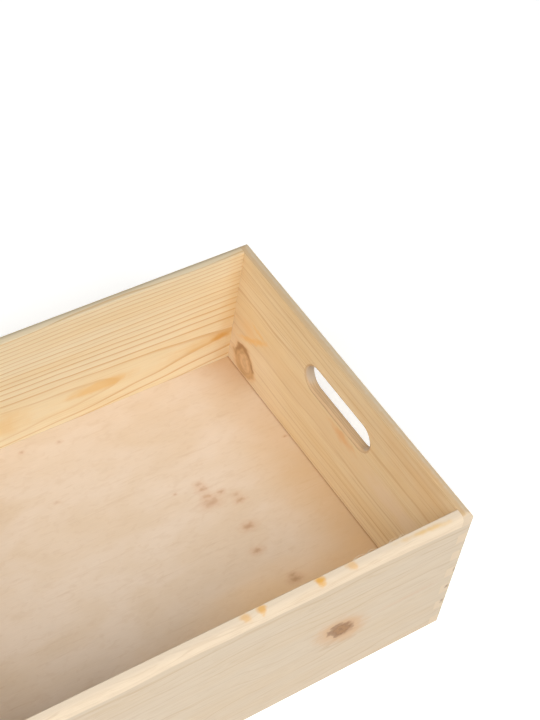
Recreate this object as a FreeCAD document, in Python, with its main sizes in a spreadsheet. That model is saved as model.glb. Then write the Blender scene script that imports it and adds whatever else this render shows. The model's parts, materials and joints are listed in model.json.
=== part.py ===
import FreeCAD, Part
import math
import os
import Sketcher

# Finger-jointed apple crate in pine, with a plywood bottom held in grooves.
# World frame: X along the length, Y across the width, +Z up, origin under the middle of the
# crate on the surface it stands on. Millimetres.
#
# Each wall is drawn in its own frame: X along its run, Y from its outer face inwards, Z up from
# its foot. Its Placement then stands it on its side of the crate.

SIZES = {
    "crate_length": 400,
    "crate_width": 300,
    "crate_height": 140,
    "wall_thickness": 9,
    "finger_count": 13,         # fingers in one corner from foot to rim, an odd number
    "rim_radius": 5,            # rounding along the outer rim
    "rim_ease": 1,              # softened inner rim edge
    "arris": 0.6,               # softened corners and feet
    "slot_length": 84,
    "slot_height": 24,
    "slot_drop": 41,            # rim down to the middle of the hand slot
    "slot_round": 3,            # rounding round each mouth of the hand slot
    "panel_thickness": 4,
    "panel_rise": 10,           # underside of the bottom panel above the feet
    "panel_room": 0.5,          # free room between the panel's edge and the groove's bottom
    "groove_depth": 4.5,
    "long_groove_play": 0.2,    # groove height beyond the panel's thickness, long walls
    "end_groove_play": 0.8,     # the same in the end walls, where it shows as a thin dark line
}

LENGTH = "Sizes.crate_length"
WIDTH = "Sizes.crate_width"
HEIGHT = "Sizes.crate_height"
THICKNESS = "Sizes.wall_thickness"
FINGER = "Sizes.crate_height / Sizes.finger_count"

doc = FreeCAD.newDocument("AppleCrate")


def make_sheet():
    sheet = doc.addObject("Spreadsheet::Sheet", "Sizes")
    for row, (alias, size) in enumerate(SIZES.items(), start=1):
        sheet.set(f"A{row}", alias)
        sheet.set(f"B{row}", str(size))
        sheet.setAlias(f"B{row}", alias)
    doc.recompute()


# Sketching


def new_sketch(body, plane, name):
    sketch = body.newObject("Sketcher::SketchObject", name)
    support = next(item for item in body.Origin.OriginFeatures if item.Role == plane)
    sketch.AttachmentSupport = (support, [""])
    sketch.MapMode = "FlatFace"
    return sketch


def number(sketch, expression):
    result = sketch.evalExpression(expression)
    return float(getattr(result, "Value", result))


def bind(sketch, constraint, name, expression):
    index = sketch.addConstraint(constraint)
    sketch.renameConstraint(index, name)
    sketch.setExpression(f"Constraints.{name}", expression)


def place_point(sketch, line, end, name, across, up):
    """Holds one point at its two distances from the sketch's origin."""
    for kind, axis, distance in (("DistanceX", "across", across), ("DistanceY", "up", up)):
        constraint = Sketcher.Constraint(kind, -1, 1, line, end, number(sketch, distance))
        bind(sketch, constraint, f"{name}_{axis}", distance)


def draw_rectangle(sketch, name, low, high):
    """A rectangle from its low corner to its high corner, each two expressions."""
    left, bottom = (number(sketch, part) for part in low)
    right, top = (number(sketch, part) for part in high)
    corners = [
        FreeCAD.Vector(left, bottom, 0),
        FreeCAD.Vector(right, bottom, 0),
        FreeCAD.Vector(right, top, 0),
        FreeCAD.Vector(left, top, 0),
    ]
    first = sketch.GeometryCount
    for side in range(4):
        sketch.addGeometry(Part.LineSegment(corners[side], corners[(side + 1) % 4]), False)
    for side in range(4):
        here = first + side
        following = first + (side + 1) % 4
        direction = "Horizontal" if side % 2 == 0 else "Vertical"
        sketch.addConstraint(Sketcher.Constraint("Coincident", here, 2, following, 1))
        sketch.addConstraint(Sketcher.Constraint(direction, here))
    place_point(sketch, first, 1, f"{name}_low", *low)
    place_point(sketch, first + 2, 1, f"{name}_high", *high)


def draw_corner(sketch, across, up, inward, radius):
    """The waste that a rounding bit takes off one corner: two legs and the arc between them.

    inward gives the directions (-1 or 1) from the corner into the wood.
    """
    r = number(sketch, radius)
    corner = FreeCAD.Vector(number(sketch, across), number(sketch, up), 0)
    level_end = corner + FreeCAD.Vector(inward[0] * r, 0, 0)
    upright_end = corner + FreeCAD.Vector(0, inward[1] * r, 0)
    centre = FreeCAD.Vector(level_end.x, upright_end.y, 0)
    middle = math.atan2(-inward[1], -inward[0])
    circle = Part.Circle(centre, FreeCAD.Vector(0, 0, 1), r)
    sketch.addGeometry(Part.LineSegment(corner, level_end), False)
    sketch.addGeometry(Part.LineSegment(corner, upright_end), False)
    sketch.addGeometry(Part.ArcOfCircle(circle, middle - math.pi / 4, middle + math.pi / 4), False)
    starts_upright = inward[0] * inward[1] > 0
    sketch.addConstraint(Sketcher.Constraint("Coincident", 0, 1, 1, 1))
    sketch.addConstraint(Sketcher.Constraint("Horizontal", 0))
    sketch.addConstraint(Sketcher.Constraint("Vertical", 1))
    sketch.addConstraint(Sketcher.Constraint("Tangent", 0, 2, 2, 2 if starts_upright else 1))
    sketch.addConstraint(Sketcher.Constraint("Tangent", 1, 2, 2, 1 if starts_upright else 2))
    bind(sketch, Sketcher.Constraint("Radius", 2, r), "radius", radius)
    place_point(sketch, 0, 1, "corner", across, up)


def draw_stadium(sketch, reach, radius, up):
    """A slot with half-round ends about the sketch's upright axis."""
    half = number(sketch, reach)
    r = number(sketch, radius)
    level = number(sketch, up)
    axis = FreeCAD.Vector(0, 0, 1)
    left = Part.Circle(FreeCAD.Vector(-half, level, 0), axis, r)
    right = Part.Circle(FreeCAD.Vector(half, level, 0), axis, r)
    top_right = FreeCAD.Vector(half, level + r, 0)
    top_left = FreeCAD.Vector(-half, level + r, 0)
    bottom_left = FreeCAD.Vector(-half, level - r, 0)
    bottom_right = FreeCAD.Vector(half, level - r, 0)
    sketch.addGeometry(Part.LineSegment(top_right, top_left), False)
    sketch.addGeometry(Part.ArcOfCircle(left, math.pi / 2, 3 * math.pi / 2), False)
    sketch.addGeometry(Part.LineSegment(bottom_left, bottom_right), False)
    sketch.addGeometry(Part.ArcOfCircle(right, -math.pi / 2, math.pi / 2), False)
    for side in range(4):
        sketch.addConstraint(Sketcher.Constraint("Tangent", side, 2, (side + 1) % 4, 1))
    bind(sketch, Sketcher.Constraint("Radius", 3, r), "end_radius", radius)
    place_point(sketch, 3, 3, "right_end", reach, up)
    sketch.addConstraint(Sketcher.Constraint("Symmetric", 3, 3, 1, 3, -2))


# Cutting


def check_removed(feature):
    """A cut that misses the wood shows no error, so its volume is compared."""
    doc.recompute()
    if feature.Shape.Volume > feature.BaseFeature.Shape.Volume - 0.01:
        raise RuntimeError(f"{feature.Name} removed nothing")


def cut(body, sketch, name, both_ways=False, run=None):
    pocket = body.newObject("PartDesign::Pocket", name)
    pocket.Profile = sketch
    pocket.SideType = "Symmetric" if both_ways else "One side"
    if run is None:
        pocket.Type = "ThroughAll"
    else:
        pocket.Type = "Length"
        pocket.setExpression("Length", run)
    check_removed(pocket)
    return pocket


def round_edge(body, plane, name, across, up, inward, radius, run=None):
    """Runs a rounding bit along the edge that stands square on the plane at (across, up)."""
    sketch = new_sketch(body, plane, f"{name}_profile")
    draw_corner(sketch, across, up, inward, radius)
    cut(body, sketch, name, both_ways=True, run=run)


# Walls


def make_board(label, run):
    body = doc.addObject("PartDesign::Body", label)
    outline = new_sketch(body, "XZ_Plane", f"{label}_outline")
    draw_rectangle(outline, "board", (f"-{run} / 2", "0"), (f"{run} / 2", HEIGHT))
    pad = body.newObject("PartDesign::Pad", f"{label}_board")
    pad.Profile = outline
    pad.Reversed = True    # the plane faces -Y, and the board lies on its +Y side
    pad.setExpression("Length", THICKNESS)
    doc.recompute()
    return body


def cut_fingers(body, run, lowest_notch):
    """Notches both ends for the other wall's fingers, every second finger from lowest_notch up."""
    name = body.Name
    foot = f"{lowest_notch} * {FINGER}"
    head = f"{lowest_notch + 1} * {FINGER}"
    sketch = new_sketch(body, "XZ_Plane", f"{name}_notch_outline")
    draw_rectangle(sketch, "right", (f"{run} / 2 - {THICKNESS}", foot), (f"{run} / 2", head))
    draw_rectangle(sketch, "left", (f"-{run} / 2", foot), (f"-{run} / 2 + {THICKNESS}", head))
    notch = cut(body, sketch, f"{name}_notch")

    notches = f"((Sizes.finger_count + 1) / 2 - {lowest_notch})"
    pattern = body.newObject("PartDesign::LinearPattern", f"{name}_notches")
    pattern.Originals = [notch]
    upright = next(item for item in body.Origin.OriginFeatures if item.Role == "Z_Axis")
    pattern.Direction = (upright, [""])
    pattern.setExpression("Occurrences", notches)
    pattern.setExpression("Length", f"({notches} - 1) * 2 * {FINGER}")
    body.Tip = pattern
    check_removed(pattern)


def cut_groove(body, run, play):
    """The stopped groove for the bottom panel, as long as the space between the groove bottoms."""
    sketch = new_sketch(body, "YZ_Plane", f"{body.Name}_groove_section")
    low = (f"{THICKNESS} - Sizes.groove_depth", "Sizes.panel_rise")
    high = (THICKNESS, f"Sizes.panel_rise + Sizes.panel_thickness + {play}")
    draw_rectangle(sketch, "groove", low, high)
    reach = f"{run} - 2 * ({THICKNESS} - Sizes.groove_depth)"
    cut(body, sketch, f"{body.Name}_groove", both_ways=True, run=reach)


def soften_edges(body, run):
    """The roundings along a wall: outer rim, inner rim, foot and both corners."""
    name = body.Name
    inner_run = f"{run} - 2 * {THICKNESS}"
    round_edge(body, "YZ_Plane", f"{name}_rim", "0", HEIGHT, (1, -1), "Sizes.rim_radius")
    round_edge(body, "YZ_Plane", f"{name}_rim_ease", THICKNESS, HEIGHT, (-1, -1), "Sizes.rim_ease", inner_run)
    round_edge(body, "YZ_Plane", f"{name}_foot", "0", "0", (1, 1), "Sizes.arris")
    round_edge(body, "XY_Plane", f"{name}_left_corner", f"-{run} / 2", "0", (1, 1), "Sizes.arris")
    round_edge(body, "XY_Plane", f"{name}_right_corner", f"{run} / 2", "0", (-1, 1), "Sizes.arris")


def soften_finger_tips(body, run):
    """The end wall's top and bottom fingers carry the long walls' rim and foot roundings on."""
    for side, across, inward in (("left", f"-{run} / 2", 1), ("right", f"{run} / 2", -1)):
        tip = f"{body.Name}_{side}"
        round_edge(body, "XZ_Plane", f"{tip}_rim_tip", across, HEIGHT, (inward, -1), "Sizes.rim_radius")
        round_edge(body, "XZ_Plane", f"{tip}_foot_tip", across, "0", (inward, 1), "Sizes.arris")


def cut_hand_slot(body):
    name = body.Name
    radius = "Sizes.slot_height / 2"
    sketch = new_sketch(body, "XZ_Plane", f"{name}_slot_outline")
    draw_stadium(sketch, f"Sizes.slot_length / 2 - {radius}", radius, f"{HEIGHT} - Sizes.slot_drop")
    slot = cut(body, sketch, f"{name}_slot")

    # Both mouths: the slot's edges that lie flat on one face of the board.
    half = SIZES["slot_length"] / 2 + 0.1
    level = SIZES["crate_height"] - SIZES["slot_drop"]
    rise = SIZES["slot_height"] / 2 + 0.1
    mouth = []
    for index, edge in enumerate(slot.Shape.Edges, start=1):
        box = edge.BoundBox
        in_slot = abs(box.Center.x) < half and abs(box.Center.z - level) < rise and box.ZMin > level - rise
        if in_slot and box.XLength < 2 * half and box.ZMax < level + rise and box.YLength < 0.01:
            mouth.append(f"Edge{index}")
    rounding = body.newObject("PartDesign::Fillet", f"{name}_slot_round")
    rounding.Base = (slot, mouth)
    rounding.setExpression("Radius", "Sizes.slot_round")
    check_removed(rounding)


def stand(body, turn, axis, distance):
    body.Placement = FreeCAD.Placement(FreeCAD.Vector(), FreeCAD.Rotation(FreeCAD.Vector(0, 0, 1), turn))
    body.setExpression(f".Placement.Base.{axis}", distance)


def make_long_wall(label, turn, distance):
    body = make_board(label, LENGTH)
    cut_fingers(body, LENGTH, 0)
    cut_groove(body, LENGTH, "Sizes.long_groove_play")
    soften_edges(body, LENGTH)
    stand(body, turn, "y", distance)
    return body


def make_end_wall(label, turn, distance):
    body = make_board(label, WIDTH)
    cut_fingers(body, WIDTH, 1)
    cut_groove(body, WIDTH, "Sizes.end_groove_play")
    soften_edges(body, WIDTH)
    soften_finger_tips(body, WIDTH)
    cut_hand_slot(body)
    stand(body, turn, "x", distance)
    return body


def make_bottom_panel():
    body = doc.addObject("PartDesign::Body", "bottom_panel")
    margin = f"({THICKNESS} - Sizes.groove_depth + Sizes.panel_room)"
    half_length = f"({LENGTH} / 2 - {margin})"
    half_width = f"({WIDTH} / 2 - {margin})"
    sketch = new_sketch(body, "XY_Plane", "bottom_panel_outline")
    draw_rectangle(sketch, "panel", (f"-{half_length}", f"-{half_width}"), (half_length, half_width))
    pad = body.newObject("PartDesign::Pad", "bottom_panel_sheet")
    pad.Profile = sketch
    pad.setExpression("Length", "Sizes.panel_thickness")
    body.setExpression(".Placement.Base.z", "Sizes.panel_rise")
    return body


def write_parts(bodies):
    doc.recompute()
    for item in doc.Objects:
        if {"Invalid", "Error"} & set(item.State):
            raise RuntimeError(f"{item.Name} failed: {item.State}")
    for body in bodies:
        if body.Shape.isNull() or not body.Shape.isValid() or len(body.Shape.Solids) != 1:
            raise RuntimeError(f"{body.Label} is not one sound solid")
    os.makedirs("parts", exist_ok=True)
    for body in bodies:
        body.Shape.exportStep(f"parts/{body.Label}.step")
        print(f"{body.Label}: {body.Shape.Volume / 1000:.1f} cm3")


make_sheet()
write_parts(
    [
        make_long_wall("front_wall", 0, f"-{WIDTH} / 2"),
        make_long_wall("back_wall", 180, f"{WIDTH} / 2"),
        make_end_wall("right_end", 90, f"{LENGTH} / 2"),
        make_end_wall("left_end", -90, f"-{LENGTH} / 2"),
        make_bottom_panel(),
    ]
)
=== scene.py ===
import json
import math

import bpy
from mathutils import Euler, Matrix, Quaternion, Vector


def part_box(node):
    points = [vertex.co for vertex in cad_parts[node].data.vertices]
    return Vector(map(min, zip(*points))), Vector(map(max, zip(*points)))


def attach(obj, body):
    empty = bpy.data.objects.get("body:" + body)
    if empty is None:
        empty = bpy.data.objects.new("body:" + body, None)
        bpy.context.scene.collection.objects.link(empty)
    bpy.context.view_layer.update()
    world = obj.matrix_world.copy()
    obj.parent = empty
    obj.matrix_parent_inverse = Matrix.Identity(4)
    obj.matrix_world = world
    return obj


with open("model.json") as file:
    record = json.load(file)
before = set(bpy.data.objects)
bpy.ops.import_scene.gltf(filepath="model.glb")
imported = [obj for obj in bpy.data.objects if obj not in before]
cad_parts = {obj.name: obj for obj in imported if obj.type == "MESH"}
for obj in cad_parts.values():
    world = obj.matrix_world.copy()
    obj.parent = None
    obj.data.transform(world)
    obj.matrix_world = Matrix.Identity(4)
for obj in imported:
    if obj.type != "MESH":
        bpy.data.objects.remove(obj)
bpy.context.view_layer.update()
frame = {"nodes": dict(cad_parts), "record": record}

bpy.ops.object.select_all(action="DESELECT")
print("frame loaded:", ", ".join(sorted(frame["nodes"])))

camera = {
    "place": (-0.4245, -0.6209, 1.1254),
    "heading": 41.01,     # degrees from +Y towards +X
    "lookDown": 48.49,
    "roll": 10.57,        # degrees, right side of the camera raised
    "lens": 88.04,
    "sensor": 36,
    "clip": (0.05, 60),
}


def addCamera():
    bpy.ops.object.camera_add(location=camera["place"])
    cam = bpy.context.object
    level = Euler((math.radians(90 - camera["lookDown"]), 0, math.radians(-camera["heading"])))
    cam.rotation_mode = "QUATERNION"
    cam.rotation_quaternion = level.to_quaternion() @ Quaternion((0, 0, 1), math.radians(camera["roll"]))
    cam.data.lens = camera["lens"]
    cam.data.sensor_width = camera["sensor"]
    cam.data.clip_start, cam.data.clip_end = camera["clip"]
    bpy.context.scene.camera = cam


addCamera()
print("camera set")


def fromHex(code):
    # sRGB hex to the linear colour that the nodes work in
    channels = []
    for start in (1, 3, 5):
        level = int(code[start:start + 2], 16) / 255
        channels.append(level / 12.92 if level <= 0.04045 else ((level + 0.055) / 1.055) ** 2.4)
    return (*channels, 1.0)


def addNode(tree, kind, settings, inputs, give=0):
    # adds a node, sets it up, links it and gives back one of its outputs, or all of them
    # a list of inputs fills the sockets in order, and a dictionary names them
    node = tree.nodes.new(kind)
    for name, setting in settings.items():
        setattr(node, name, setting)
    for socket, source in inputs.items() if isinstance(inputs, dict) else enumerate(inputs):
        if isinstance(source, bpy.types.NodeSocket):
            tree.links.new(source, node.inputs[socket])
        else:
            node.inputs[socket].default_value = source
    return node.outputs if give is None else node.outputs[give]


def newTree(name):
    material = bpy.data.materials.new(name)
    material.use_nodes = True
    material.node_tree.nodes.clear()
    return material, material.node_tree


def closeTree(tree, surface):
    # the last two nodes of every material
    shader = addNode(tree, "ShaderNodeBsdfPrincipled", {}, surface)
    addNode(tree, "ShaderNodeOutputMaterial", {}, {"Surface": shader}, None)


studio = {
    "floorSize": 24.0,
    "floorColour": "#fafaf9",
    "floorGlow": 0.25,        # lifts the paper to a clean white
    "floorRoughness": (0.75, 0.85),
    "skyColour": "#ffffff",
    "skyStrength": 0.3,
    "aim": (0.05, 0.0, 0.07),
    "distance": 3.0,
    "boxSize": 1.8,
    # softboxes: name, degrees round from the front towards the right, degrees up, watts
    "softboxes": [("front_softbox", 0, 50, 39.5), ("front_left_softbox", -45, 50, 36.0),
                  ("front_right_softbox", 45, 50, 9.5), ("left_softbox", -90, 25, 26.0)],
}


def addSoftbox(name, around, up, watts):
    sideways, height = math.radians(around), math.radians(up)
    direction = Vector((math.sin(sideways) * math.cos(height),
                        -math.cos(sideways) * math.cos(height), math.sin(height)))
    bpy.ops.object.light_add(type="AREA", location=Vector(studio["aim"]) + direction * studio["distance"])
    softbox = bpy.context.object
    softbox.name = name
    softbox.data.shape = "SQUARE"
    softbox.data.size = studio["boxSize"]
    softbox.data.energy = watts
    softbox.rotation_euler = (-direction).to_track_quat("-Z", "Y").to_euler()


def addStudio():
    bpy.ops.mesh.primitive_plane_add(size=studio["floorSize"], location=(0, 0, 0))
    floor = bpy.context.object
    floor.name = "studio_floor"
    paper, tree = newTree("matt white paper")
    # faint clouds in the gloss only, so the floor stays an even white
    place = addNode(tree, "ShaderNodeTexCoord", {}, [], "Object")
    clouds = addNode(tree, "ShaderNodeTexNoise", {}, {"Vector": place, "Scale": 3.0, "Detail": 3.0})
    matt = addNode(tree, "ShaderNodeMapRange", {}, [clouds, 0.0, 1.0, *studio["floorRoughness"]])
    closeTree(tree, {"Base Color": fromHex(studio["floorColour"]), "Roughness": matt,
                     "Specular IOR Level": 0.15, "Emission Color": fromHex(studio["floorColour"]),
                     "Emission Strength": studio["floorGlow"]})
    floor.data.materials.append(paper)

    for softbox in studio["softboxes"]:
        addSoftbox(*softbox)

    world = bpy.data.worlds.new("bright studio")
    bpy.context.scene.world = world
    world.use_nodes = True
    world.node_tree.nodes.clear()
    sky = addNode(world.node_tree, "ShaderNodeBackground", {},
                  {"Color": fromHex(studio["skyColour"]), "Strength": studio["skyStrength"]})
    addNode(world.node_tree, "ShaderNodeOutputWorld", {}, {"Surface": sky}, None)
    bpy.context.scene.view_settings.view_transform = "Standard"


addStudio()
print("studio lit")


# every length in the wood materials is in millimetres
smooth = {"interpolation_type": "SMOOTHSTEP"}      # for a Map Range that eases in and out
inColour = {"data_type": "RGBA"}                   # for a Mix of two colours


def boardGrain(tree, axes):
    # object place in millimetres, turned to run along the grain, up the board and through it
    place = addNode(tree, "ShaderNodeTexCoord", {}, [], "Object")
    large = addNode(tree, "ShaderNodeVectorMath", {"operation": "SCALE"}, {0: place, "Scale": 1000.0})
    parts = addNode(tree, "ShaderNodeSeparateXYZ", {}, [large], None)
    return addNode(tree, "ShaderNodeCombineXYZ", {}, [parts[axis] for axis in axes])


def woodFigure(tree, grain, sizes, detail=2.0, twist=0.0, signed=False, give="Fac"):
    # an uneven figure whose blots measure about sizes, along, up and through the board
    place = addNode(tree, "ShaderNodeVectorMath", {"operation": "DIVIDE"}, [grain, sizes])
    return addNode(tree, "ShaderNodeTexNoise", {"normalize": not signed}, {
        "Vector": place, "Scale": 1.0, "Detail": detail, "Distortion": twist}, give)


def layTone(tree, colour, tone, mask, start=0.0, full=1.0, share=1.0):
    # lays a tone over the colour, from none where the mask is at start to its share where it is full
    cover = addNode(tree, "ShaderNodeMapRange", smooth, [mask, start, full, 0.0, share])
    return addNode(tree, "ShaderNodeMix", inColour, {0: cover, 6: colour, 7: fromHex(tone)}, 2)


def layFibres(tree, colour, fibres, darkest, palest):
    # fibres make the colour a little deeper or paler
    shade = addNode(tree, "ShaderNodeMapRange", {}, [fibres, 0.25, 0.75, darkest, palest])
    return addNode(tree, "ShaderNodeMix", {**inColour, "blend_type": "MULTIPLY"},
                   {0: 1.0, 6: colour, 7: shade}, 2)


def blotRadius(tree, grain, blot, flatten=(1, 1, 1)):
    # 0 in the middle of a blot and 1 at its edge, which is a little ragged
    local = addNode(tree, "ShaderNodeMapping", {"vector_type": "TEXTURE"}, {
        "Vector": grain, "Location": blot["centre"], "Scale": blot["radii"],
        "Rotation": [math.radians(angle) for angle in blot.get("turn", (0, 0, 0))]})
    flat = addNode(tree, "ShaderNodeVectorMath", {"operation": "MULTIPLY"}, [local, flatten])
    radius = addNode(tree, "ShaderNodeVectorMath", {"operation": "LENGTH"}, [flat], "Value")
    span = min(blot["radii"][:2])
    wobble = woodFigure(tree, grain, (span, span * 0.7, span), signed=True)
    return addNode(tree, "ShaderNodeMath", {"operation": "MULTIPLY_ADD"},
                   [wobble, blot.get("ragged", 0.15), radius])


def stemAge(tree, bent, board):
    # years at a point, from its distance to the stem's centre line, which leans a little in the board
    leanUp, leanThrough = board["lean"]
    stem = addNode(tree, "ShaderNodeMapping", {"vector_type": "TEXTURE"}, {
        "Vector": bent, "Location": board["pith"], "Rotation": (0, -leanThrough, leanUp)})
    across = addNode(tree, "ShaderNodeVectorMath", {"operation": "MULTIPLY"}, [stem, (0, 1, 1)])
    distance = addNode(tree, "ShaderNodeVectorMath", {"operation": "LENGTH"}, [across], "Value")
    age = addNode(tree, "ShaderNodeMath", {"operation": "MULTIPLY_ADD"},
                  [distance, 1 / board["yearWidth"], board["firstYear"]])
    # fat and lean years
    uneven = addNode(tree, "ShaderNodeTexNoise", {"noise_dimensions": "1D", "normalize": False}, {
        "W": age, "Scale": 0.7, "Detail": 1.0})
    return addNode(tree, "ShaderNodeMath", {"operation": "MULTIPLY_ADD"},
                   [uneven, board["unevenYears"], age])


def lateWood(tree, age, board):
    # spring growth is pale, then the year darkens and stops at a sharp line
    year = addNode(tree, "ShaderNodeMath", {"operation": "FRACT"}, [age])
    slow = addNode(tree, "ShaderNodeMapRange", smooth, [year, 0.3, 0.95, 0.0, board["slowShare"]])
    quick = addNode(tree, "ShaderNodeMapRange", smooth,
                    [year, board["lateFrom"], 0.93, 0.0, 1 - board["slowShare"]])
    late = addNode(tree, "ShaderNodeMath", {"operation": "ADD"}, [slow, quick])
    stop = addNode(tree, "ShaderNodeMapRange", smooth, [year, 0.94, 1.0, 1.0, 0.0])
    # some years are fainter than others, and so are the ones nearest the stem's centre
    count = addNode(tree, "ShaderNodeMath", {"operation": "FLOOR"}, [age])
    chance = addNode(tree, "ShaderNodeTexWhiteNoise", {"noise_dimensions": "1D"}, {"W": count}, "Value")
    vigour = addNode(tree, "ShaderNodeMapRange", {}, [chance, 0.0, 1.0, board["faintYears"], 1.0])
    quiet, loud = board["quietYears"]
    core = addNode(tree, "ShaderNodeMapRange", smooth, [age, quiet, loud, board["quietShare"], 1.0])
    for share in (stop, vigour, core):
        late = addNode(tree, "ShaderNodeMath", {"operation": "MULTIPLY"}, [late, share])
    return late


def paintKnot(tree, grain, colour, knot, radius, board):
    # resin-rich halo, brown wood inside, a broken rim of bark and a dark heart
    colour = layTone(tree, colour, board["knotHalo"], radius, knot["halo"], 0.9, knot["haloShare"])
    wood = layTone(tree, fromHex(board["knotLight"]), board["knotMid"], radius)
    rings = addNode(tree, "ShaderNodeMath", {"operation": "PINGPONG"}, [radius, knot["ringGap"] / 2])
    wood = layTone(tree, wood, board["knotDark"], rings, knot["ringGap"] * 0.15, knot["ringGap"] / 2,
                   knot["ringShare"])
    span = knot["radii"][0]
    mottle = woodFigure(tree, grain, (span * 0.3, span * 0.3, span * 0.3), 3.0)
    wood = layTone(tree, wood, board["knotDark"], mottle, 0.45, 0.75, 0.25)
    cover = addNode(tree, "ShaderNodeMapRange", smooth, [radius, knot["soft"], 1.06, 0.9, 0.0])
    colour = addNode(tree, "ShaderNodeMix", inColour, {0: cover, 6: colour, 7: wood}, 2)
    broken = woodFigure(tree, grain, (span, span, span), 3.0)
    bark = addNode(tree, "ShaderNodeMapRange", smooth, [broken, 0.38, 0.6, 0.1, 1.0])
    inner = addNode(tree, "ShaderNodeMapRange", smooth, [radius, knot["barkFrom"], 0.85, 0.0, 1.0])
    outer = addNode(tree, "ShaderNodeMapRange", smooth, [radius, 0.88, 1.1, 1.0, 0.0])
    for share in (inner, outer):
        bark = addNode(tree, "ShaderNodeMath", {"operation": "MULTIPLY"}, [bark, share])
    colour = layTone(tree, colour, board["knotDark"], bark, share=knot["bark"])
    return layTone(tree, colour, board["knotDark"], radius, 0.2, 0.03, knot["heart"])


def paintSlot(tree, grain, colour, slot):
    # painted shade in the hand slot: its rounding and bore are darkened to a deeper brown, with fine cutter
    # lines round it
    parts = addNode(tree, "ShaderNodeSeparateXYZ", {}, [grain], None)
    run = slot["length"] / 2 - slot["height"] / 2
    held = addNode(tree, "ShaderNodeClamp", {}, [parts["X"], -run, run])
    past = addNode(tree, "ShaderNodeMath", {"operation": "SUBTRACT"}, [parts["X"], held])
    above = addNode(tree, "ShaderNodeMath", {"operation": "SUBTRACT"}, [parts["Y"], slot["middle"]])
    reach = addNode(tree, "ShaderNodeCombineXYZ", {}, [past, above])
    radius = addNode(tree, "ShaderNodeVectorMath", {"operation": "LENGTH"}, [reach], "Value")
    outer = slot["height"] / 2 + slot["rounding"]
    inner = slot["height"] / 2 + slot["fullShadeReach"]
    colour = layTone(tree, colour, slot["colour"], radius, outer, inner, slot["share"])
    wander = woodFigure(tree, grain, (30, 30, 4))
    wave = addNode(tree, "ShaderNodeMath", {"operation": "MULTIPLY_ADD"},
                   [parts["Z"], 1 / slot["lineSpacing"], wander])
    line = addNode(tree, "ShaderNodeMath", {"operation": "PINGPONG"}, [wave, 0.5])
    line = addNode(tree, "ShaderNodeMapRange", smooth, [line, 0.0, 0.2, 1.0, 0.0])
    cut = addNode(tree, "ShaderNodeMapRange", smooth, [radius, inner, outer, 1.0, 0.0])
    lines = addNode(tree, "ShaderNodeMath", {"operation": "MULTIPLY"}, [line, cut])
    return layTone(tree, colour, slot["lineColour"], lines, share=slot["lineShare"])


def paintRimWearAndLight(tree, grain, colour, board):
    # the rim takes another tone, by more or less from face to face: partly wear from polishing hands on its
    # flat, partly painted shade on the outer rounding of the back and end rims and a painted highlight on
    # the front rim's flat
    parts = addNode(tree, "ShaderNodeSeparateXYZ", {}, [grain], None)
    low, high = [board["top"] - drop for drop in board["rimDrops"]]
    wearAndLight = addNode(tree, "ShaderNodeMapRange", smooth, [parts["Y"], low, high, 0.0, board["rimWearAndLight"]])
    outward = addNode(tree, "ShaderNodeMath", {"operation": "ABSOLUTE"}, [parts["Z"]])
    near, far = [board["outside"] - depth for depth in board["rimDepths"]]
    side = addNode(tree, "ShaderNodeMapRange", smooth, [outward, near, far, *board["rimShares"]])
    wearAndLight = addNode(tree, "ShaderNodeMath", {"operation": "MULTIPLY"}, [wearAndLight, side])
    return layTone(tree, colour, board["rimColour"], wearAndLight)


# how large each part of the figure is along, up and through a board
figure = {
    "sway": (110, 30, 30),
    "patches": (110, 16, 16),
    "bands": (160, 2.2, 2.2),
    "threads": (200, 0.9, 0.9),
    "fibres": (22, 0.8, 0.8),      # drawn coarser than real ones so they still show
}
# unvarnished: spring growth is dull, and late wood stands up a little and is closer and glossier
pineFinish = {"dullest": 0.68, "glossiest": 0.5, "lateLift": 0.6, "bump": 0.35, "bumpDepth": 0.00012}
woodGloss = {"IOR": 1.5, "Specular IOR Level": 0.3}


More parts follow.
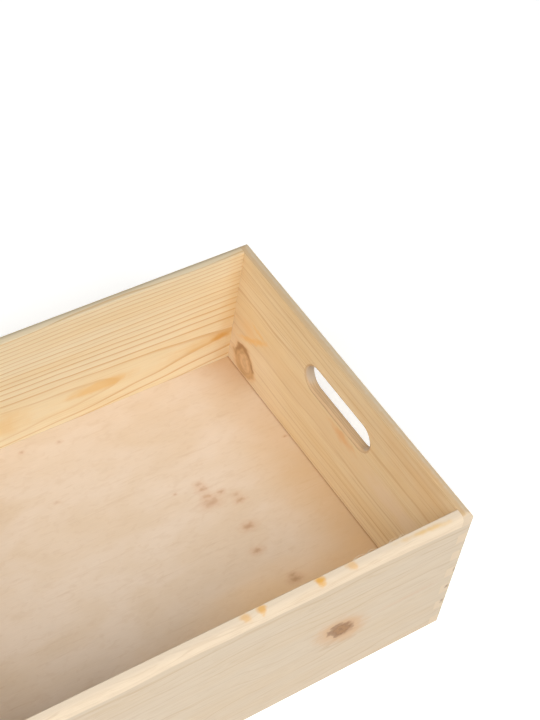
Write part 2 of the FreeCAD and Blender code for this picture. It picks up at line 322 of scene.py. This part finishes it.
def pine(name, board):
    # planed pine as one solid, so rings, knots and end grain meet truly round every edge
    material, tree = newTree(name)
    grain = boardGrain(tree, board["axes"])
    sway = woodFigure(tree, grain, figure["sway"], signed=True, give="Color")
    bent = addNode(tree, "ShaderNodeVectorMath", {"operation": "MULTIPLY_ADD"},
                   [sway, (0, board["sway"], board["sway"]), grain])

    # a knot is a branch with years of its own, and the stem's years swell round it
    age = stemAge(tree, bent, board)
    knots = []
    for knot in board["knots"]:
        radius = blotRadius(tree, bent, {**knot, "radii": (*knot["radii"], 1)}, (1, 1, 0))
        own = addNode(tree, "ShaderNodeMath", {"operation": "MULTIPLY"}, [age, radius])
        age = addNode(tree, "ShaderNodeMath", {"operation": "SMOOTH_MIN"}, [age, own, knot["swell"]])
        knots.append((knot, radius))
    late = lateWood(tree, age, board)

    patches = woodFigure(tree, grain, figure["patches"], 3.0)
    colour = layTone(tree, fromHex(board["early"]), board["warm"], patches, 0.35, 0.7, board["warmth"])
    if "paleTopStrip" in board:
        heights = addNode(tree, "ShaderNodeSeparateXYZ", {}, [bent], None)
        colour = layTone(tree, colour, board["paleTopStrip"], heights["Y"], *board["paleStripEdge"])
    bands = woodFigure(tree, bent, figure["bands"])
    colour = layTone(tree, colour, board["late"], bands, 0.5, 0.8, board["bands"])
    threads = woodFigure(tree, bent, figure["threads"])
    colour = layTone(tree, colour, board["late"], threads, 0.5, 0.75, board["threads"])
    colour = layTone(tree, colour, board["late"], late, share=board["contrast"])
    fibres = woodFigure(tree, bent, figure["fibres"], 3.0)
    colour = layFibres(tree, colour, fibres, 0.96, 1.03)

    colour = paintRimWearAndLight(tree, grain, colour, board)
    for stain in board["stains"]:
        radius = blotRadius(tree, grain, {"ragged": 0.3, **stain})
        colour = layTone(tree, colour, stain["colour"], radius, 1.0, stain.get("core", 0.1), stain["share"])
    for knot, radius in knots:
        colour = paintKnot(tree, grain, colour, knot, radius, board)
    if "slot" in board:
        colour = paintSlot(tree, grain, colour, board["slot"])

    # end grain is greyer and a shade deeper, on the finger tips
    normal = addNode(tree, "ShaderNodeTexCoord", {}, [], "Normal")
    facing = addNode(tree, "ShaderNodeSeparateXYZ", {}, [normal], None)
    endOn = addNode(tree, "ShaderNodeMath", {"operation": "ABSOLUTE"}, [facing[board["axes"][0]]])
    colour = layTone(tree, colour, board["endGrain"], endOn, 0.3, 0.8, board["endShare"])
    for tear in board["tears"]:
        radius = blotRadius(tree, grain, {"ragged": 0.5, **tear})
        colour = layTone(tree, colour, board["tearColour"], radius, 1.0, 0.1, tear["share"])

    roughness = addNode(tree, "ShaderNodeMapRange", {},
                        [late, 0.0, 1.0, pineFinish["dullest"], pineFinish["glossiest"]])
    lift = addNode(tree, "ShaderNodeMath", {"operation": "MULTIPLY_ADD"},
                   [late, pineFinish["lateLift"], fibres])
    bump = addNode(tree, "ShaderNodeBump", {}, {
        "Height": lift, "Strength": pineFinish["bump"], "Distance": pineFinish["bumpDepth"]})
    closeTree(tree, {"Base Color": colour, "Roughness": roughness, "Normal": bump, **woodGloss})
    return material


def slotMiddle(name):
    # height of a hand slot's middle, from the opening that the frame gives for it
    for opening in frame["record"]["physics"]["openings"]:
        if opening["name"] == name:
            low, high = opening["box_m"]
            return (low[2] + high[2]) / 2 * 1000


# what a board has unless its own dictionary says otherwise
common = {
    "top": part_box("back_wall")[1].z * 1000,
    "sway": 3.0, "unevenYears": 0.3, "faintYears": 0.5, "lateFrom": 0.7, "slowShare": 0.25,
    "quietYears": (-2, -1), "quietShare": 1.0,      # no years are quiet
    "warmth": 0.4, "bands": 0.12, "threads": 0.2,
    "knotHalo": "#dba869", "knotLight": "#dfbd95", "knotMid": "#c79d70", "knotDark": "#93673f",
    # the rim's tone, partly wear and partly painted shade and highlight: how far below the top it starts
    # and is full, how far in from the outer face it begins to change and has changed, and its shares inside
    # and outside
    "rimColour": "#b0a089", "rimWearAndLight": 0.75, "rimDrops": (1.4, 0.3), "rimDepths": (7, 1),
    "rimShares": (0.35, 1.0),
    "endGrain": "#c8b69f", "endShare": 0.85, "tearColour": "#7d6652",
    "knots": [], "stains": [], "tears": [],
}

# the hand slot's rounding and bore take a painted shade of deeper brown; the fine lines are the cutter's
slotCut = {
    "length": 84, "height": 24, "rounding": 3.1, "fullShadeReach": 1.6, "colour": "#bd946a", "share": 0.55,
    "lineSpacing": 2.0, "lineColour": "#8c6650", "lineShare": 0.4,
}

# straight years near the top, and one pointed arch low down where the saw met them flat
backBoard = {
    **common,
    "axes": "XZY", "outside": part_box("back_wall")[1].y * 1000,
    "early": "#f3e3c1", "warm": "#efd4a3", "late": "#cf9744", "contrast": 0.62, "threads": 0.15,
    "slowShare": 0.35, "faintYears": 0.7, "quietYears": (12.0, 12.4), "quietShare": 0.6,
    "pith": (77, 43.9, 96), "lean": (0.026, -0.038), "yearWidth": 3.85, "firstYear": 0.28,
    "unevenYears": 0.08, "sway": 1.2,
    # the back rim's grey-brown is painted shade on its outer rounding, with some wear
    "rimColour": "#94836f", "rimWearAndLight": 0.8, "rimShares": (0.5, 0.85), "endGrain": "#d3ba8e",
    "stains": [
        {"centre": (190, 62, 141), "radii": (17, 120, 10), "share": 0.4, "colour": "#e2b573"},
        {"centre": (165, 45.5, 141), "radii": (52, 10, 8), "share": 0.4, "colour": "#e9bd70"},
        {"centre": (181, 45.5, 141), "radii": (15, 6.0, 6), "share": 0.7, "colour": "#dca24e"},
        {"centre": (67, 44, 141), "radii": (41, 9.5, 8), "core": 0.3, "share": 0.6,
         "colour": "#eabd73", "ragged": 0.15},
        {"centre": (-24, 42, 141), "radii": (38, 18, 8), "core": 0.2, "share": 0.5,
         "colour": "#ecc27c"},
    ],
}

# close years along the top, a quiet middle and one large knot in the lower back corner
rightBoard = {
    **common,
    "axes": "YZX", "outside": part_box("right_end")[1].x * 1000,
    "early": "#e7cfa7", "warm": "#e1c18d", "late": "#b7834a", "contrast": 0.34, "faintYears": 0.35,
    "lateFrom": 0.76, "slowShare": 0.15, "threads": 0.34, "sway": 1.6,
    "knotLight": "#e2c096", "knotMid": "#cca373", "knotDark": "#99714a", "rimColour": "#b89a76",
    "rimShares": (0.85, 0.4),
    "pith": (0, 78, 127), "lean": (0.004, 0.0), "yearWidth": 4.9, "firstYear": 0.1,
    "knots": [
        {"centre": (119, 30, 191), "radii": (16.5, 14.5), "turn": (8, -14, 35), "swell": 2.5,
         "halo": 1.3, "haloShare": 0.4, "soft": 0.65, "bark": 0.65, "barkFrom": 0.45, "heart": 0.15,
         "ringGap": 0.34, "ringShare": 0.28, "ragged": 0.22},
    ],
    "stains": [
        # broad tones: warm towards the front, pale low down at the back, and hardly a line in the middle
        {"centre": (0, 71, 191), "radii": (190, 19, 30), "core": 0.4, "share": 0.55,
         "colour": "#e2c59b"},
        {"centre": (-85, 72, 191), "radii": (60, 14, 30), "core": 0.3, "share": 0.5,
         "colour": "#e6cdb0"},
        {"centre": (-110, 122, 191), "radii": (110, 36, 30), "share": 0.3, "colour": "#dca866"},
        {"centre": (120, 28, 191), "radii": (75, 50, 30), "share": 0.45, "colour": "#eedbc2"},
        {"centre": (-13, 77.5, 191), "radii": (23, 9, 8), "turn": (0, 0, 8), "share": 0.5,
         "colour": "#df9f5f"},
        # a paler line along the outer rounding
        {"centre": (0, 138.5, 196), "radii": (600, 4, 3.4), "share": 0.5, "colour": "#cfc4b0"},
        # a thread of resin that runs into the knot, with stained wood inside its bend
        {"centre": (119, 69, 191), "radii": (22, 13, 8), "share": 0.4, "colour": "#eabd82"},
        {"centre": (103.5, 69.5, 191), "radii": (16, 4.2, 5), "turn": (0, 0, -38), "core": 0.1,
         "share": 0.55, "colour": "#e9b564"},
        {"centre": (119, 58, 191), "radii": (20, 4.8, 5), "turn": (0, 0, -30), "core": 0.1,
         "share": 0.55, "colour": "#e9b564"},
        {"centre": (106, 78, 191), "radii": (18, 3.6, 5), "turn": (0, 0, 8), "core": 0.1,
         "share": 0.4, "colour": "#e9b564"},
    ],
    # fibres torn at the corner by the saw
    "tears": [
        {"centre": (-150, 70.5, 199), "radii": (3, 4.5, 1.8), "share": 0.6},
        {"centre": (-150, 50, 196.8), "radii": (3, 3.5, 2.4), "share": 0.7},
        {"centre": (-150, 31, 197.2), "radii": (3, 4.5, 2.4), "share": 0.6},
        {"centre": (-150, 92, 199.6), "radii": (3, 4.0, 1.2), "share": 0.4},
    ],
    "slot": {**slotCut, "middle": slotMiddle("right_hand_slot")},
}

# a greyer board, with orange branch marks along its rim: place along, size, slant and strength
rimMarks = [(10, 6.0, 8, 0.55), (23, 5.0, 25, 0.8), (70.5, 6.0, 12, 0.95), (97, 6.5, 40, 0.5)]
frontBoard = {
    **common,
    "axes": "XZY", "outside": -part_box("front_wall")[0].y * 1000,
    "early": "#c6b6a0", "warm": "#c4ac8b", "late": "#a07c55", "contrast": 0.31, "warmth": 0.3,
    "bands": 0.14, "threads": 0.22, "sway": 4.5, "lateFrom": 0.76, "slowShare": 0.15, "faintYears": 0.3,
    "pith": (140, 50, -100), "lean": (0.01, 0.02), "yearWidth": 4.6, "firstYear": 0.3,
    "knotHalo": "#c08f5e", "knotLight": "#9c744c", "knotMid": "#8c6644", "knotDark": "#65462f",
    # the front rim's pale flat is a painted highlight, with some wear
    "rimColour": "#dfcdb5", "rimWearAndLight": 0.7, "rimShares": (1.0, 0.3), "endGrain": "#c9b592",
    # a pale strip along the top, with a crisp lower edge
    "paleTopStrip": "#d9c6ac", "paleStripEdge": (129.8, 131.2),
    "knots": [
        {"centre": (98, 66.5, -150), "radii": (13, 8.0), "turn": (6, 10, -22), "swell": 2.4,
         "halo": 2.5, "haloShare": 0.55, "soft": 0.5, "bark": 0.4, "barkFrom": 0.5, "heart": 0.5,
         "ringGap": 0.4, "ringShare": 0.35, "ragged": 0.3},
    ],
    "stains": [
        *[{"centre": (along, 138, -144.3), "radii": (size, 12, 5.4), "turn": (0, slant, 0),
           "core": 0.3, "share": share, "colour": "#dca54e"} for along, size, slant, share in rimMarks],
        # a painted yellow highlight along the rim towards the right end
        {"centre": (158, 138, -145.2), "radii": (30, 9, 3.0), "turn": (0, 3, 0), "core": 0.2,
         "share": 0.65, "colour": "#dcb26a"},
        {"centre": (158, 64.5, -150), "radii": (40, 3.4, 6), "core": 0.2, "share": 0.3,
         "colour": "#c09c80"},
    ],
}

# clear years, and one small knot through the board
leftBoard = {
    **common,
    "axes": "YZX", "outside": -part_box("left_end")[0].x * 1000,
    "early": "#e8d2ab", "warm": "#e2c28f", "late": "#ba874d", "contrast": 0.5,
    "pith": (20, 30, -165), "lean": (-0.01, 0.02), "yearWidth": 4.2, "firstYear": 0.0,
    "knots": [
        {"centre": (-92, 56, -191), "radii": (9, 8), "turn": (5, 12, 10), "swell": 2.0,
         "halo": 1.6, "haloShare": 0.6, "soft": 0.8, "bark": 0.5, "barkFrom": 0.55, "heart": 0.4,
         "ringGap": 0.35, "ringShare": 0.35, "ragged": 0.18},
    ],
    "slot": {**slotCut, "middle": slotMiddle("left_hand_slot")},
}

plywood = {
    "pale": "#dfcdb9",
    "shade": "#d6bfa2",
    "streak": "#c5a685",
    "pin": "#a0704e",
    "pinHalo": "#c99c76",
    # dust in the joint and painted shade along the end walls
    "dustAndShade": "#b06a34",
    "dustAndShadeShare": 0.3,
    "dustAndShadeReach": (1.5, 0.3),   # how far from the end walls the dust and painted shade start and are full
    # how large each part of the figure is along, across and through the sheet
    "clouds": (70, 32, 30),
    "mottle": (9, 4, 4),
    "streaks": (45, 2.4, 2.4),
    "fibres": (12, 0.7, 0.7),
    "roughness": 0.6,
    "bump": 0.25,
    "bumpDepth": 0.0001,
    # painted light on the sheet: a honey-coloured painted reflection of the right end along it, warm
    # painted bounce light in front, and painted shade deeper in the corner
    "paintedShadeAndBounce": [
        {"centre": (192, -25, 14), "radii": (62, 190, 4), "share": 0.6, "colour": "#d2ac78"},
        {"centre": (70, -135, 14), "radii": (170, 85, 4), "share": 0.85, "colour": "#f6d1a2"},
        {"centre": (120, -84, 14), "radii": (130, 48, 4), "share": 0.4, "colour": "#fccf8f"},
        {"centre": (198, 150, 14), "radii": (58, 62, 4), "share": 0.75, "colour": "#c79c68"},
    ],
    "pinShape": (2.6, 1.5, 2),
    # where the pin knots lie, their size and how dark they are
    "pins": [(99, 38.5, 2.0, 0.5), (99, 33, 2.4, 0.6), (99, 25.5, 2.2, 0.5), (99, 18.5, 4.0, 0.6),
             (111, 24, 1.6, 0.6), (120, 16, 1.8, 0.4), (120, 10, 2.2, 0.6), (112.5, -14.5, 3.0, 0.7),
             (106, -37, 2.4, 0.7), (118, -68.5, 1.6, 0.6), (118, -73, 2.6, 0.7),
             (-8.8, 130.5, 1.2, 0.5), (22.5, 126, 1.3, 0.4), (77.5, 38.5, 0.8, 0.6),
             (-7.5, 75, 1.2, 0.3), (187, 47, 0.9, 0.7)],
}


def birchPlywood(name):
    # rotary-cut birch: a broad, cloudy figure with hardly any lines, and small pin knots
    material, tree = newTree(name)
    grain = boardGrain(tree, "XYZ")
    clouds = woodFigure(tree, grain, plywood["clouds"], 3.0, twist=0.6)
    colour = layTone(tree, fromHex(plywood["pale"]), plywood["shade"], clouds, 0.35, 0.7, 0.55)
    mottle = woodFigure(tree, grain, plywood["mottle"], 3.0, twist=0.8)
    colour = layTone(tree, colour, plywood["streak"], mottle, 0.48, 0.72, 0.16)
    streaks = woodFigure(tree, grain, plywood["streaks"], 3.0, twist=0.5)
    colour = layTone(tree, colour, plywood["streak"], streaks, 0.58, 0.8, 0.3)
    fibres = woodFigure(tree, grain, plywood["fibres"], 3.0)
    colour = layFibres(tree, colour, fibres, 0.965, 1.02)
    # painted shade and bounced light, laid into the sheet's colour
    for paintedLightPatch in plywood["paintedShadeAndBounce"]:
        radius = blotRadius(tree, grain, paintedLightPatch)
        colour = layTone(tree, colour, paintedLightPatch["colour"], radius, 1.0, 0.1, paintedLightPatch["share"])

    # a thread of shade and dust where the panel slips under the end walls
    parts = addNode(tree, "ShaderNodeSeparateXYZ", {}, [grain], None)
    sideways = addNode(tree, "ShaderNodeMath", {"operation": "ABSOLUTE"}, [parts["X"]])
    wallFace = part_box("right_end")[0].x * 1000
    start, full = [wallFace - reach for reach in plywood["dustAndShadeReach"]]
    colour = layTone(tree, colour, plywood["dustAndShade"], sideways, start, full, plywood["dustAndShadeShare"])

    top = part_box("bottom_panel")[1].z * 1000
    long, wide, deep = plywood["pinShape"]
    for x, y, size, share in plywood["pins"]:
        radius = blotRadius(tree, grain, {"centre": (x, y, top), "ragged": 0.3,
                                          "radii": (size * long, size * wide, deep)})
        colour = layTone(tree, colour, plywood["pinHalo"], radius, 1.7, 0.1, 0.65 * share)
        colour = layTone(tree, colour, plywood["pin"], radius, 0.8, 0.0, 0.55 * share)
    bump = addNode(tree, "ShaderNodeBump", {}, {
        "Height": fibres, "Strength": plywood["bump"], "Distance": plywood["bumpDepth"]})
    closeTree(tree, {"Base Color": colour, "Roughness": plywood["roughness"], "Normal": bump, **woodGloss})
    return material


splinters = {
    "rise": 0.0011,            # how far a fibre stands off the wall at its middle
    "climb": 0.3,              # how much of that it also rises
    "thickness": 0.0005,
    "taper": 0.84,             # each step's thickness over the last one's
    "steps": 8,
    "sides": 6,
    "length": 0.01,            # of the one that is modelled, before each copy is stretched
    # where each torn fibre starts along the inner edge of the front rim, and its length
    "fibres": [(0.1005, 0.0115), (0.1125, 0.0070), (0.1310, 0.0080), (0.1395, 0.0070)],
}


def addFibre():
    # one torn fibre, off the wall and back, thinning towards its free end
    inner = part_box("front_wall")[1].y
    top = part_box("front_wall")[1].z
    steps, taper = splinters["steps"], splinters["taper"]
    bpy.ops.mesh.primitive_circle_add(
        vertices=splinters["sides"], radius=splinters["thickness"] / 2, fill_type="NGON",
        location=(0, inner, top - splinters["thickness"]), rotation=(0, math.radians(90), 0))
    bpy.ops.object.transform_apply()
    bpy.ops.object.mode_set(mode="EDIT")
    for step in range(steps):
        slope = math.cos(math.pi * (step + 0.5) / steps) * splinters["rise"] * math.pi / steps
        bpy.ops.mesh.extrude_region_move(TRANSFORM_OT_translate={
            "value": (splinters["length"] / steps, slope, slope * splinters["climb"])})
        bpy.ops.transform.resize(value=(1, taper, taper))
    bpy.ops.mesh.select_all(action="SELECT")
    bpy.ops.mesh.normals_make_consistent(inside=False)
    bpy.ops.object.mode_set(mode="OBJECT")
    return bpy.context.object


def addSplinters(material):
    # the plane has lifted a few fibres along the inner edge of the front rim
    bpy.ops.object.select_all(action="DESELECT")
    fibre = addFibre()
    slivers = [fibre]
    while len(slivers) < len(splinters["fibres"]):
        bpy.ops.object.duplicate()
        slivers.append(bpy.context.object)
    for sliver, (start, length) in zip(slivers, splinters["fibres"]):
        sliver.location.x = start
        sliver.scale.x = length / splinters["length"]
        sliver.select_set(True)
    bpy.ops.object.transform_apply()
    bpy.context.view_layer.objects.active = fibre
    bpy.ops.object.join()
    fibre.name = "rim_splinters"
    fibre.data.materials.append(material)
    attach(fibre, "root")


def finishNode(node, material):
    slots = frame["nodes"][node].data.materials
    slots.clear()
    slots.append(material)


finishNode("back_wall", pine("planed pine, back wall", backBoard))
finishNode("right_end", pine("planed pine, right end", rightBoard))
frontPine = pine("planed pine, front wall", frontBoard)
finishNode("front_wall", frontPine)
finishNode("left_end", pine("planed pine, left end", leftBoard))
finishNode("bottom_panel", birchPlywood("rotary-cut birch plywood"))
print("wood finished")

addSplinters(frontPine)
print("splinters lifted")
